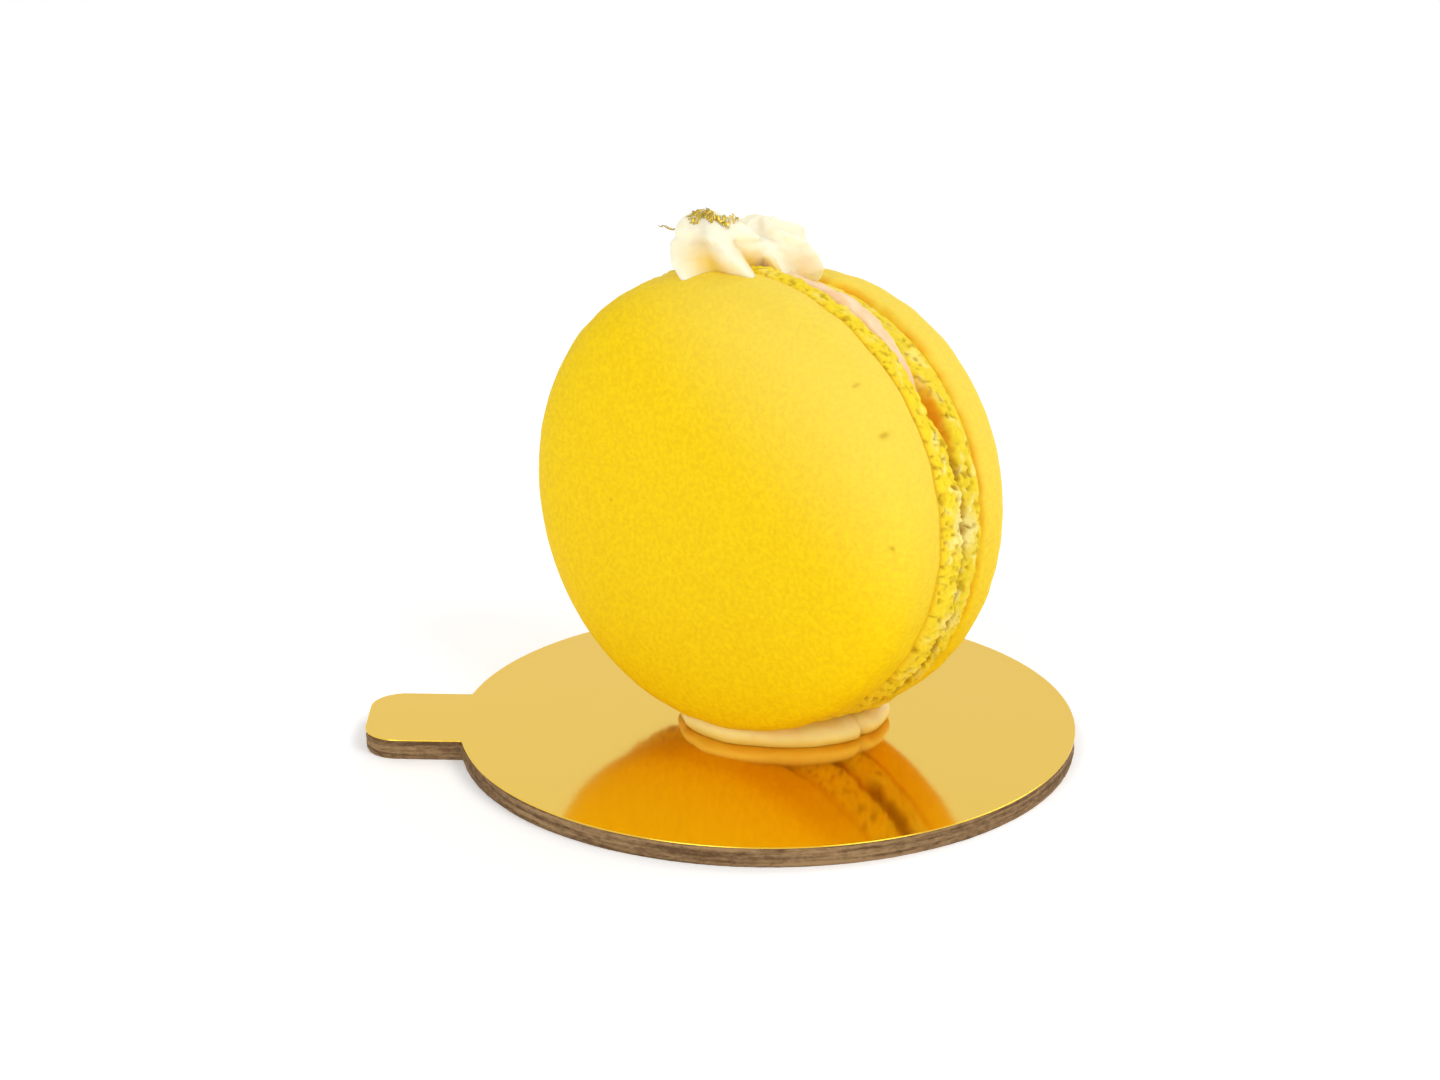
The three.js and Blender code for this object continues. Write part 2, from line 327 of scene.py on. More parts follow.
def meringue():
    """Baked almond meringue: matte and dry, with a fine mottle of ground almond and a paler foot, a painted
    highlight on one shoulder, and painted shade in the pits, the crack and the creases.
    """
    look = bpy.context.scene.macaron_shell
    m = new_material("baked almond meringue")
    place = add_node(m, "TexCoord", {}).outputs["Object"]
    foot = add_node(m, "Attribute", {}, attribute_name="foot").outputs["Fac"]
    pit = add_node(m, "Attribute", {}, attribute_name="pit").outputs["Fac"]
    grain = add_node(
        m, "TexNoise", {"Vector": place, "Scale": 1 / look.grain, "Detail": 3, "Roughness": 0.6}
    )
    shade = add_node(m, "MapRange", {"Value": grain.outputs["Fac"], "From Min": 0.36, "From Max": 0.64})
    crust = add_node(
        m,
        "Mix",
        {0: shade.outputs[0], 6: opaque(look.crust_dark), 7: opaque(look.crust)},
        data_type="RGBA",
    )
    # Painted highlight: the skin is painted paler on one side of the top, the shoulder that faces the light
    painted_highlight = add_node(m, "Attribute", {}, attribute_name="painted_highlight").outputs["Fac"]
    faint = add_node(m, "Math", {0: painted_highlight, 1: 0.5}, operation="MULTIPLY")
    highlighted = add_node(
        m, "Mix", {0: faint.outputs[0], 6: crust.outputs[2], 7: opaque(look.painted_highlight)}, data_type="RGBA"
    )
    # Specks of almond skin
    speck = add_node(m, "Attribute", {}, attribute_name="speck").outputs["Fac"]
    fleck = add_node(m, "Math", {0: speck, 1: 0.7}, operation="MULTIPLY")
    flecked = add_node(
        m, "Mix", {0: fleck.outputs[0], 6: highlighted.outputs[2], 7: opaque(look.pit)}, data_type="RGBA"
    )
    # The foot is paler on its crumbs, and its pits and the crack are painted darker as shade
    pale = add_node(m, "Attribute", {}, attribute_name="pale").outputs["Fac"]
    paler = add_node(
        m, "Mix", {0: pale, 6: opaque(look.foot), 7: opaque(look.crumb)}, data_type="RGBA"
    )
    froth = add_node(m, "Mix", {0: pit, 6: paler.outputs[2], 7: opaque(look.pit)}, data_type="RGBA")
    skin = add_node(m, "Mix", {0: foot, 6: flecked.outputs[2], 7: froth.outputs[2]}, data_type="RGBA")
    # Between the feet and in the creases the meringue is painted orange as shade, warmed by the yellow light
    # thrown between the shells
    inside = add_node(m, "Attribute", {}, attribute_name="inside").outputs["Fac"]
    colour = add_node(m, "Mix", {0: inside, 6: skin.outputs[2], 7: opaque(look.inside)}, data_type="RGBA")
    fine = add_node(
        m, "TexNoise", {"Vector": place, "Scale": 2.4 / look.grain, "Detail": 3, "Roughness": 0.7}
    )
    height = add_node(
        m, "Mix", {0: 0.4, 2: grain.outputs["Fac"], 3: fine.outputs["Fac"]}, data_type="FLOAT"
    )
    bump = add_node(m, "Bump", {"Height": height.outputs[0], "Strength": 0.55, "Distance": 0.09 * MM})
    rough = add_node(m, "MapRange", {"Value": grain.outputs["Fac"], "To Min": 0.5, "To Max": 0.68})
    shader = add_node(
        m,
        "BsdfPrincipled",
        {
            "Base Color": colour.outputs[2],
            "Roughness": rough.outputs[0],
            "IOR": 1.45,
            "Subsurface Weight": 0.18,
            "Subsurface Radius": (1, 0.75, 0.2),
            "Subsurface Scale": 0.9 * MM,
            "Specular IOR Level": 0.14,
            "Normal": bump.outputs[0],
        },
    )
    add_node(m, "OutputMaterial", {"Surface": shader.outputs[0]})
    return m


def butter_cream(name, base):
    """Piped butter cream: smooth, softly glossy and slightly translucent, with fine marks of the nozzle and
    painted shade in its valleys and where it touches something.
    """
    look = bpy.context.scene.macaron_cream
    m = new_material(name)
    place = add_node(m, "TexCoord", {}).outputs["Object"]
    soft = add_node(m, "TexNoise", {"Vector": place, "Scale": 0.6 / MM, "Detail": 2})
    tint = add_node(m, "MapRange", {"Value": soft.outputs["Fac"], "From Min": 0.35, "From Max": 0.65})
    colour = add_node(
        m,
        "Mix",
        {0: tint.outputs[0], 6: opaque(base), 7: opaque([min(1, CREAM_STREAK * part) for part in base])},
        data_type="RGBA",
    )
    # Painted shade: the valleys and the places where the cream touches something are painted a deeper
    # yellow, as shade warmed by the yellow light thrown back by the shells
    hollow = add_node(m, "Attribute", {}, attribute_name="hollow").outputs["Fac"]
    valley_shade = add_node(m, "Math", {0: hollow, 1: 0.9}, operation="MULTIPLY")
    shaded_cream = add_node(
        m, "Mix", {0: valley_shade.outputs[0], 6: colour.outputs[2], 7: opaque(look.valley_shade)}, data_type="RGBA"
    )
    fine = add_node(m, "TexNoise", {"Vector": place, "Scale": 2.5 / MM, "Detail": 3, "Roughness": 0.6})
    bump = add_node(m, "Bump", {"Height": fine.outputs["Fac"], "Strength": 0.35, "Distance": 0.05 * MM})
    rough = add_node(m, "MapRange", {"Value": fine.outputs["Fac"], "To Min": 0.36, "To Max": 0.56})
    shader = add_node(
        m,
        "BsdfPrincipled",
        {
            "Base Color": shaded_cream.outputs[2],
            "Roughness": rough.outputs[0],
            "IOR": 1.46,
            "Subsurface Weight": 0.5,
            "Subsurface Radius": (1, 0.7, 0.4),
            "Subsurface Scale": 1.2 * MM,
            "Normal": bump.outputs[0],
        },
    )
    add_node(m, "OutputMaterial", {"Surface": shader.outputs[0]})
    return m


def peach_ganache():
    """Soft peach ganache: dense and smooth, with a dull satin skin and tiny bubbles, and painted shade in
    its hollow.
    """
    look = bpy.context.scene.macaron_cream
    m = new_material("peach ganache")
    place = add_node(m, "TexCoord", {}).outputs["Object"]
    soft = add_node(m, "TexNoise", {"Vector": place, "Scale": 0.8 / MM, "Detail": 3})
    tint = add_node(m, "MapRange", {"Value": soft.outputs["Fac"], "From Min": 0.35, "From Max": 0.65})
    colour = add_node(
        m,
        "Mix",
        {0: tint.outputs[0], 6: opaque(look.filling), 7: opaque(look.filling_pale)},
        data_type="RGBA",
    )
    # Painted shade: the hollow in the filling is painted a deeper orange
    hollow = add_node(m, "Attribute", {}, attribute_name="hollow").outputs["Fac"]
    deep = add_node(m, "Mix", {0: hollow, 6: colour.outputs[2], 7: opaque(look.hollow)}, data_type="RGBA")
    fine = add_node(m, "TexNoise", {"Vector": place, "Scale": 3 / MM, "Detail": 2})
    bump = add_node(m, "Bump", {"Height": fine.outputs["Fac"], "Strength": 0.4, "Distance": 0.05 * MM})
    shader = add_node(
        m,
        "BsdfPrincipled",
        {
            "Base Color": deep.outputs[2],
            "Roughness": 0.5,
            "IOR": 1.46,
            "Subsurface Weight": 0.4,
            "Subsurface Radius": (1, 0.6, 0.35),
            "Subsurface Scale": 1 * MM,
            "Normal": bump.outputs[0],
        },
    )
    add_node(m, "OutputMaterial", {"Surface": shader.outputs[0]})
    return m


def gold_foil():
    """Metallised film laminated on board: a warm mirror, a little wavy, with a trace of haze."""
    look = bpy.context.scene.macaron_card
    m = new_material("gold foil laminate")
    place = add_node(m, "TexCoord", {}).outputs["Object"]
    wave = add_node(m, "TexNoise", {"Vector": place, "Scale": 0.07 / MM, "Detail": 1})
    fibre = add_node(m, "TexNoise", {"Vector": place, "Scale": 0.9 / MM, "Detail": 2})
    haze = add_node(m, "MapRange", {"Value": fibre.outputs["Fac"], "To Min": 0.06, "To Max": 0.14})
    broad = add_node(m, "Bump", {"Height": wave.outputs["Fac"], "Strength": 0.5, "Distance": 0.12 * MM})
    bump = add_node(
        m,
        "Bump",
        {
            "Height": fibre.outputs["Fac"],
            "Strength": 0.3,
            "Distance": 0.006 * MM,
            "Normal": broad.outputs[0],
        },
    )
    shader = add_node(
        m,
        "BsdfPrincipled",
        {
            "Base Color": opaque(look.foil),
            "Metallic": 1,
            "Roughness": haze.outputs[0],
            "Normal": bump.outputs[0],
        },
    )
    add_node(m, "OutputMaterial", {"Surface": shader.outputs[0]})
    return m


def greyboard():
    """Pressed paper board: dry and fibrous, with plies that show at the cut edge and dark fibres."""
    look = bpy.context.scene.macaron_card
    m = new_material("pressed paper board")
    place = add_node(m, "TexCoord", {}).outputs["Object"]
    flat = add_node(m, "Mapping", {"Vector": place, "Scale": (0.6, 0.6, 1.8)})
    fibres = add_node(
        m, "TexNoise", {"Vector": flat.outputs[0], "Scale": 1.5 / MM, "Detail": 4, "Roughness": 0.75}
    )
    thin = add_node(m, "Mapping", {"Vector": place, "Scale": (0.08, 0.08, 2)})
    plies = add_node(m, "TexNoise", {"Vector": thin.outputs[0], "Scale": 1 / MM, "Detail": 1})
    both = add_node(m, "Math", {0: fibres.outputs["Fac"], 1: plies.outputs["Fac"]}, operation="ADD")
    shade = add_node(m, "MapRange", {"Value": both.outputs[0], "From Min": 0.8, "From Max": 1.2})
    colour = add_node(
        m,
        "Mix",
        {0: shade.outputs[0], 6: opaque(look.board_dark), 7: opaque(look.board)},
        data_type="RGBA",
    )
    bump = add_node(m, "Bump", {"Height": fibres.outputs["Fac"], "Strength": 0.7, "Distance": 0.12 * MM})
    shader = add_node(
        m,
        "BsdfPrincipled",
        {
            "Base Color": colour.outputs[2],
            "Roughness": 0.9,
            "Specular IOR Level": 0.2,
            "Normal": bump.outputs[0],
        },
    )
    add_node(m, "OutputMaterial", {"Surface": shader.outputs[0]})
    return m


def gold_leaf():
    """Edible gold leaf: beaten metal, thin and crumpled, bright on its folds."""
    look = bpy.context.scene.macaron_leaf
    m = new_material("beaten gold leaf")
    place = add_node(m, "TexCoord", {}).outputs["Object"]
    crumple = add_node(m, "TexNoise", {"Vector": place, "Scale": 1.6 / MM, "Detail": 4, "Roughness": 0.65})
    bump = add_node(m, "Bump", {"Height": crumple.outputs["Fac"], "Strength": 0.8, "Distance": 0.15 * MM})
    rough = add_node(m, "MapRange", {"Value": crumple.outputs["Fac"], "To Min": 0.22, "To Max": 0.42})
    shader = add_node(
        m,
        "BsdfPrincipled",
        {
            "Base Color": opaque(look.gold),
            "Metallic": 1,
            "Roughness": rough.outputs[0],
            "Normal": bump.outputs[0],
        },
    )
    add_node(m, "OutputMaterial", {"Surface": shader.outputs[0]})
    return m


def finish_piece(name, shape, material, slot, *nodes, place=Matrix.Identity(4)):
    """Turns a bmesh in millimetres into a piece that rides on the card, in the place of these CAD nodes."""
    bmesh.ops.transform(shape, matrix=Matrix.Scale(MM, 4) @ place, verts=shape.verts)
    mesh = bpy.data.meshes.new(name)
    shape.to_mesh(mesh)
    shape.free()
    mesh.materials.append(material)
    piece = bpy.data.objects.new(name, mesh)
    bpy.context.scene.collection.objects.link(piece)
    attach(piece, "root")
    if nodes:
        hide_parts(*nodes)
    return piece


def lathe(profile, steps):
    """Spins a profile of (reach, height) pairs about +Y, and merges the points that fall together."""
    shape = bmesh.new()
    points = [shape.verts.new((reach, height, 0)) for reach, height in profile]
    edges = [shape.edges.new(pair) for pair in zip(points, points[1:])]
    bmesh.ops.spin(
        shape,
        geom=points + edges,
        cent=(0, 0, 0),
        axis=(0, 1, 0),
        angle=math.tau,
        steps=steps,
        use_merge=True,
    )
    bmesh.ops.remove_doubles(shape, verts=shape.verts, dist=1e-4)
    return shape


def close_up(shape):
    """Points the faces of a closed shape outwards and smooths their shading."""
    bmesh.ops.recalc_face_normals(shape, faces=shape.faces)
    for face in shape.faces:
        face.smooth = len(face.verts) < 5


def open_edges(shape, height_test):
    """The open edges whose middle passes a test, in order round the Y axis."""
    found = []
    for edge in shape.edges:
        middle = (edge.verts[0].co + edge.verts[1].co) / 2
        if edge.is_boundary and height_test(middle):
            found.append((math.atan2(middle.z, middle.x) % math.tau, edge))
    return [edge for _, edge in sorted(found, key=lambda pair: pair[0])]


def dome_height(spec, share):
    """How high the dome is at a share of its radius."""
    square = (1 - share**DOME_POWER) ** (1 / DOME_POWER)
    return spec["rim"] + spec["dome"] * ((1 - CROWN) * square + CROWN * (1 - share**2))


def shell_profile(spec):
    """A shell's half section from the edge of its inner face to the rim of the dome's cap."""
    radius, crease, rim = spec["radius"], spec["crease"], spec["rim"]
    widest = radius + spec["spread"]
    neck = radius * (1 - CREASE_DEPTH)
    points = []
    for i in range(FOOT_RINGS):
        share = i / FOOT_RINGS
        if share < 0.3:
            bulge = math.sqrt(1 - (1 - share / 0.3) ** 2)
            reach = INNER_FACE * radius + (widest - INNER_FACE * radius) * bulge
        else:
            reach = widest - (widest - neck) * max(0, (share - 0.45) / 0.55) ** 2.4
        points.append((reach, share * crease))
    for i in range(LIP_RINGS):
        turn = i / LIP_RINGS * math.pi / 2
        reach = neck + (radius - neck) * math.sin(turn)
        points.append((reach, crease + (rim - crease) * (1 - math.cos(turn))))
    for i in range(DOME_RINGS + 1):
        angle = (i / DOME_RINGS) ** 1.5 * math.acos(CAP_REACH ** (DOME_POWER / 2))
        share = math.cos(angle) ** (2 / DOME_POWER)
        points.append((share * radius, dome_height(spec, share)))
    return points


def unevenness(angle, seed):
    """How wide a shell is at an angle, where 1 is a true circle."""
    return 1 + 0.006 * math.cos(2 * angle + seed) + 0.005 * math.cos(3 * angle + 2 * seed)


def foot_relief(point, share, bubble, seed):
    """How far a point of the foot stands out, how deep it lies in a pit, and how pale its crumb is. The foot
    is a froth that set in the oven: crumbs and burst bubbles, with pinholes right under the crease."""
    here = point + Vector((seed, 0, 0))
    here += 0.3 * bubble * noise.noise_vector(here / (0.7 * bubble))
    frilly = smooth_step(0.98, 0.6, share)
    folds = noise.noise(here / (2.2 * bubble))
    lumps = noise.noise(here / (0.8 * bubble) + Vector((3, 9, 1)))
    grain = noise.noise(here / (0.3 * bubble) + Vector((5, 2, 8)))
    distances, seeds = noise.voronoi(here / (0.8 * bubble))
    round_out = 0.5 - distances[0]
    cleft = 1 - smooth_step(0, 0.2, distances[1] - distances[0])
    burst = smooth_step(0.42, 0.12, distances[0]) * (noise.noise(seeds[0] * 7.3) > 0.12)
    hole = smooth_step(0.22, 0.5, noise.noise(here / (0.6 * bubble) + Vector((1, 4, 2))))
    pinhole = smooth_step(0.12, 0.4, noise.noise(here / (0.42 * bubble) + Vector((7, 3, 6))))
    pinhole *= smooth_step(0.72, 0.86, share) * smooth_step(1, 0.94, share)
    relief = 0.25 * folds + (0.3 * lumps + 0.14 * grain) * (0.35 + 0.65 * frilly) - 0.1
    relief += frilly * (0.3 * round_out - 0.12 * cleft - 0.3 * burst - 0.34 * hole) - 0.28 * pinhole
    # Painted shade: pit sets how dark the foot is painted in its clefts, burst bubbles, holes and pinholes
    pit = min(1, (0.12 * cleft + 0.6 * burst + 0.6 * hole) * (0.3 + 0.7 * frilly) + 0.6 * pinhole)
    crumb = smooth_step(0.05, 0.5, noise.noise(here / (1.3 * bubble) + Vector((8, 1, 3))) + 0.5 * round_out)
    return relief, pit, crumb * frilly


def crack_share(angle, share, point):
    """How far a point of the foot lies in the crack between the feet, which is painted dark as shade, from 0
    to 1.
    """
    if not CRACK_ENDS[0] < angle < CRACK_ENDS[1]:
        return 0
    low, high = (abs(angle - end) / CRACK_FADE for end in CRACK_ENDS)
    ragged = share + 0.07 * noise.noise(point / 0.5)
    return min(1, low, high) * smooth_step(0.26, 0.12, ragged)


def skin_height(spec, point, share, seed):
    """How high the dome's skin is at a share of its radius, with slow waves and a fine grain."""
    settled = smooth_step(1, 0.9, share)
    waves = settled * 0.12 * noise.noise(point / 9 + Vector((seed, 0, 0)))
    fine = 0.05 * noise.noise(point / 1.1) + 0.03 * noise.noise(point / 0.5)
    return dome_height(spec, share) + waves + fine * (0.4 + 0.6 * settled)


def shell(spec, up, seed, place, name, node, material, specks=()):
    """One shell: a dome with a crease and a frilly foot, spun about +Y. Up is 1 where its +Z stays up in its
    place, and -1 where it is turned over."""
    bubble = bpy.context.scene.macaron_shell.bubble / MM
    radius, crease, rim = spec["radius"], spec["crease"], spec["rim"]
    shape = lathe(shell_profile(spec), SHELL_STEPS)
    # The cap of the dome is a grid between four quarters of its rim.
    rim_edges = open_edges(shape, lambda middle: middle.y > rim)
    quarter = len(rim_edges) // 4
    bmesh.ops.grid_fill(shape, edges=rim_edges[:quarter] + rim_edges[2 * quarter : 3 * quarter])
    bmesh.ops.edgeloop_fill(shape, edges=open_edges(shape, lambda middle: middle.y < rim))
    names = ("foot", "pit", "pale", "inside", "speck", "painted_highlight")
    foot, pit, pale, inside, speck, painted_highlight = (shape.verts.layers.float.new(key) for key in names)
    for vert in shape.verts:
        point = vert.co.copy()
        angle = math.atan2(up * point.z, point.x)
        reach = math.hypot(point.x, point.z)
        height = point.y
        out = 0
        near_crease = hump(height, crease, spec["crease_width"])
        # Painted highlight: the skin turned up and to one side, towards the light, is painted paler
        vert[painted_highlight] = smooth_step(0.2, 1, (0.6 * point.x + 0.8 * up * point.z) / radius)
        if height < crease:
            share = height / crease
            side = math.cos(angle - FOOT_BULGE_ANGLE)
            torn = 0.5 + 0.5 * smooth_step(0.5, 0.95, side)
            fade = smooth_step(0, 0.1, share) * smooth_step(1, 0.92, share)
            relief, depth, crumb = foot_relief(point, share, bubble, 40 * seed)
            parting = hump(angle, PARTING_ANGLE, PARTING_WIDTH)
            out = fade * relief * torn + FOOT_BULGE * max(0, side) * smooth_step(0, 0.25, share)
            out -= PARTING_DEPTH * parting * smooth_step(0.4, 0, share)
            crack = crack_share(angle, share, point)
            out -= CRACK_DEPTH * crack
            vert[foot] = smooth_step(1.02, 0.9, share)
            # Painted shade: the pits and the crack are painted dark
            vert[pit] = max(fade * depth, crack)
            # Painted shade: the inner edge of each foot and the parting where the feet draw back are painted
            # orange, less where the crack is painted dark
            between_shade = smooth_step(0.08, 0, share) + 1.3 * parting * smooth_step(0.36, 0.14, share)
            vert[inside] = min(1, between_shade) * (1 - 0.8 * crack)
            for crumb_angle, crumb_width in PALE_CRUMBS:
                patch = hump(angle, crumb_angle, crumb_width)
                crumb = max(crumb, 1.4 * patch * smooth_step(0.75, 0.35, share))
            under = smooth_step(0.2, 0.9, math.cos(angle - UNDERSIDE_ANGLE))
            vert[pale] = min(1, crumb) * torn * (1 - 0.7 * under)
            # The feet's edges are torn along one line, so they follow each other round the macaron.
            tear = 0.9 * noise.noise(Vector((math.cos(angle), math.sin(angle), 0.3)) * radius / 1.5)
            edge = 0.2 * noise.noise(point / 0.6 + Vector((0, 50 * seed, 0)))
            skirt = spec["skirt"] * hump(angle, SKIRT_ANGLE, SKIRT_WIDTH)
            lower = torn * (edge + up * tear) - skirt + PARTING_HEIGHT * parting
            height += lower * smooth_step(0.9, 0.1, share) * smooth_step(0.93, 0.97, reach / radius)
        elif height < rim or reach > 0.97 * radius:
            out = 0.14 * noise.noise(Vector((9 * math.cos(angle), 9 * math.sin(angle), seed)))
            vert[foot] = 0.9 * smooth_step(crease + 0.4, crease, height)
        out -= CREASE_CUT * near_crease
        # Painted shade: the crease over the foot is painted orange in mottled patches
        mottle = 0.7 + 0.9 * noise.noise(point / 1.3 + Vector((seed, 4, 0)))
        vert[inside] = max(vert[inside], min(1, max(0, mottle)) * spec["crease_shade"] * near_crease)
        if height >= rim and reach < 0.999 * radius:
            height = skin_height(spec, point, reach / radius, seed)
            for across, above, wide in specks:
                apart = math.hypot(point.x - across, up * point.z - above)
                vert[speck] = max(vert[speck], hump(apart, 0, wide))
            height -= 0.1 * vert[speck]
        waver = 0.2 * noise.noise(Vector((6 * math.cos(angle), 6 * math.sin(angle), 3 * seed + 5)))
        height += waver * hump(point.y, crease, 0.9)
        scale = unevenness(angle, 2 * seed) + out / radius
        wedge = spec["wedge"] * up * point.z * max(0, 1 - (point.y / rim) ** 2)
        vert.co = (point.x * scale, height + wedge, point.z * scale)
    close_up(shape)
    return finish_piece(name, shape, material, "shell", node, place=place)


def macaron_place():
    """Where the macaron stands: turned from the front and leaning a little."""
    turned = Matrix.Rotation(-FACE_TURN, 4, "Z") @ Matrix.Rotation(-LEAN, 4, "X")
    return Matrix.Translation(MACARON_CENTRE) @ turned


def front_place():
    """The front shell's place, turned over so that its dome faces forwards."""
    return macaron_place() @ Matrix.Translation((0, -FRONT_GAP, 0)) @ Matrix.Rotation(math.pi, 4, "X")


def back_place():
    """The back shell's place, tilted away from the filling and slipped down."""
    tilt = Matrix.Rotation(-BACK_TILT, 4, "X") @ Matrix.Rotation(-BACK_SWING, 4, "Z")
    return macaron_place() @ Matrix.Translation((BACK_SHIFT, BACK_GAP, -BACK_DROP)) @ tilt


class MACARON_OT_shells(bpy.types.Operator):
    """Bake the two domed shells with their frilly feet"""

    bl_idname = "macaron.shells"
    bl_label = "Shells"

    def execute(self, context):
        noise.seed_set(FROTH_SEED)
        material = meringue()
        shell(FRONT_SHELL, -1, 0, front_place(), "front_shell", "shell_front", material, SPECKS)
        shell(BACK_SHELL, 1, 1, back_place(), "back_shell", "shell_back", material)
        return {"FINISHED"}


class MACARON_OT_filling(bpy.types.Operator):
    """Spread the ganache between the shells"""

    bl_idname = "macaron.filling"
    bl_label = "Filling"

    def execute(self, context):
        profile = []
        for i in range(FILLING_RINGS + 1):
            share = i / FILLING_RINGS
            profile.append((FILLING_RADIUS - 0.9 * (2 * share - 1) ** 4, share))
        shape = lathe(profile, FILLING_STEPS)
        hollow_shade = shape.verts.layers.float.new("hollow")
        for low in (True, False):
            edges = open_edges(shape, lambda middle: (middle.y < 0.5) == low)
            bmesh.ops.edgeloop_fill(shape, edges=edges)
        for vert in shape.verts:
            point = vert.co
            angle = math.atan2(point.z, point.x)
            share = point.y
            hollow = HOLLOW_DEPTH * hump(angle, HOLLOW_ANGLE, HOLLOW_WIDTH)
            wave = 0.3 * math.sin(7 * angle + 1) + 0.2 * math.sin(12 * angle)
            soft = 0.35 * noise.noise(Vector((point.x / 2.5, 2 * share, point.z / 2.5)))
            soft += 0.12 * noise.noise(Vector((point.x / 0.8, 4 * share, point.z / 0.8)))
            swell = 1 + (FILLING_SWELL * max(0, math.sin(angle)) + wave + soft - hollow) / FILLING_RADIUS
            x, z = point.x * swell, point.z * swell
            front = -FRONT_GAP - FRONT_SHELL["wedge"] * z
            slope = math.tan(BACK_TILT) + BACK_SHELL["wedge"]
            back = BACK_GAP + slope * (z + BACK_DROP) - math.tan(BACK_SWING) * (x - BACK_SHIFT)
            vert.co = (x, front + (back - front) * share, z)
            # Painted shade: how deep in the hollow a point lies, which is painted a deeper orange
            vert[hollow_shade] = smooth_step(0.1, 0.7, hollow / HOLLOW_DEPTH)
        close_up(shape)
        finish_piece("ganache", shape, peach_ganache(), "filling", "filling", place=macaron_place())
        return {"FINISHED"}


class MACARON_OT_cream_base(bpy.types.Operator):
    """Pipe the dab of cream that holds the macaron to the card"""

    bl_idname = "macaron.cream_base"
    bl_label = "Cream base"

    def execute(self, context):
        profile = [(0, 0), (0.88, 0)]
        for i in range(BASE_RINGS + 1):
            rise = i / BASE_RINGS
            profile.append((1 - 0.07 * (1 - rise) ** 3 - 0.28 * rise**2.6, rise))
        profile += [(0.5, 1), (0, 1)]
        shape = lathe(profile, BASE_STEPS)
        hollow = shape.verts.layers.float.new("hollow")
        for vert in shape.verts:
            point = vert.co
            # Painted shade on the dab: deeper yellow near the card and near its top, where the macaron's
            # shadow falls
            vert[hollow] = 0.7 * smooth_step(0.4, 0, point.y) + 0.5 * smooth_step(0.6, 0.95, point.y)
            angle = math.atan2(-point.z, point.x)
            crease = BASE_CREASE * hump(angle, BASE_CREASE_ANGLE, BASE_CREASE)
            wave = 1 + 0.012 * math.sin(5 * angle) - crease
            wave += 0.02 * noise.noise(Vector((5 * point.x, 2 * point.y, 5 * point.z)))
            height = point.y * (BASE_HEIGHT - 0.25 * abs(noise.noise(point * 3)))
            vert.co = (point.x * BASE_RADII[0] * wave, height, point.z * BASE_RADII[1] * wave)
        close_up(shape)
        place = Matrix.Translation((*BASE_CENTRE, CARD_THICKNESS)) @ Matrix.Rotation(math.pi / 2, 4, "X")
        material = butter_cream("custard butter cream", context.scene.macaron_cream.dab)
        finish_piece("cream_dab", shape, material, "cream", "cream_base", place=place)
        return {"FINISHED"}


def valley(spec, point):
    """How deep in a star's valley a point of its skin lies, from 0 on a ridge to 1, counting more low on the
    star; it sets the painted shade there.
    """
    share = (point.z - STAR_ROOT) / (spec["top"] - STAR_ROOT)
    across = (point.x - spec["middle"][0] - spec["nod"] * share**3) / spec["reach"][0]
    back = (spec["middle"][1] - point.y) / spec["reach"][1]
    angle = math.atan2(back, across) - spec["start"] - spec["twist"] * share
    low = smooth_step(0.85, 0.5, share) + smooth_step(0.6, 0.35, share)
    return min(1, 0.8 * low) * abs(math.sin(spec["lobes"] * angle / 2)) ** 1.5


def star(spec):
    """A star piped upwards, in the macaron's own frame: lobes that twist as they rise to a leaning top."""
    rise = spec["top"] - STAR_ROOT
    profile = [(0, STAR_START)]
    for i in range(STAR_RINGS + 1):
        share = STAR_START + (1 - STAR_START) * (1 - (1 - i / STAR_RINGS) ** 1.6)
        tuck = 1 - STAR_TUCK * max(0, 1 - share / STAR_TUCK_TOP) ** 2
        profile.append((tuck * math.sqrt(max(0, 1 - share ** spec["fullness"])), share))
    shape = lathe(profile, STAR_STEPS)
    for vert in shape.verts:
        share = vert.co.y
        angle = math.atan2(vert.co.z, vert.co.x)
        low = abs(math.sin(spec["lobes"] * angle / 2)) ** 1.3
        groove = spec["groove"] * low
        fold = spec["fold"] * hump(share, FOLD_SHARE, FOLD_WIDTH)
        reach = math.hypot(vert.co.x, vert.co.z)
        out = reach * (1 - groove - fold)
        # On top the valleys sink and turn in towards the middle, where the nozzle was lifted away
        top = smooth_step(0.7, 0.95, share)
        turned = angle + spec["start"] + spec["twist"] * share + spec["swirl"] * top * (1 - reach)
        sink = spec["sink"] * top * low * smooth_step(0.05, 0.6, reach)
        across = spec["reach"][0] * out * math.cos(turned) + spec["nod"] * share**3
        back = -spec["reach"][1] * out * math.sin(turned)
        height = STAR_ROOT + share * rise - sink
        vert.co = (spec["middle"][0] + across, spec["middle"][1] + back, height)
    close_up(shape)
    return shape


def join(shape, other):
    """Adds another shape to a shape, and frees the other."""
    carrier = bpy.data.meshes.new("carrier")
    other.to_mesh(carrier)
    other.free()
    shape.from_mesh(carrier)
    bpy.data.meshes.remove(carrier)


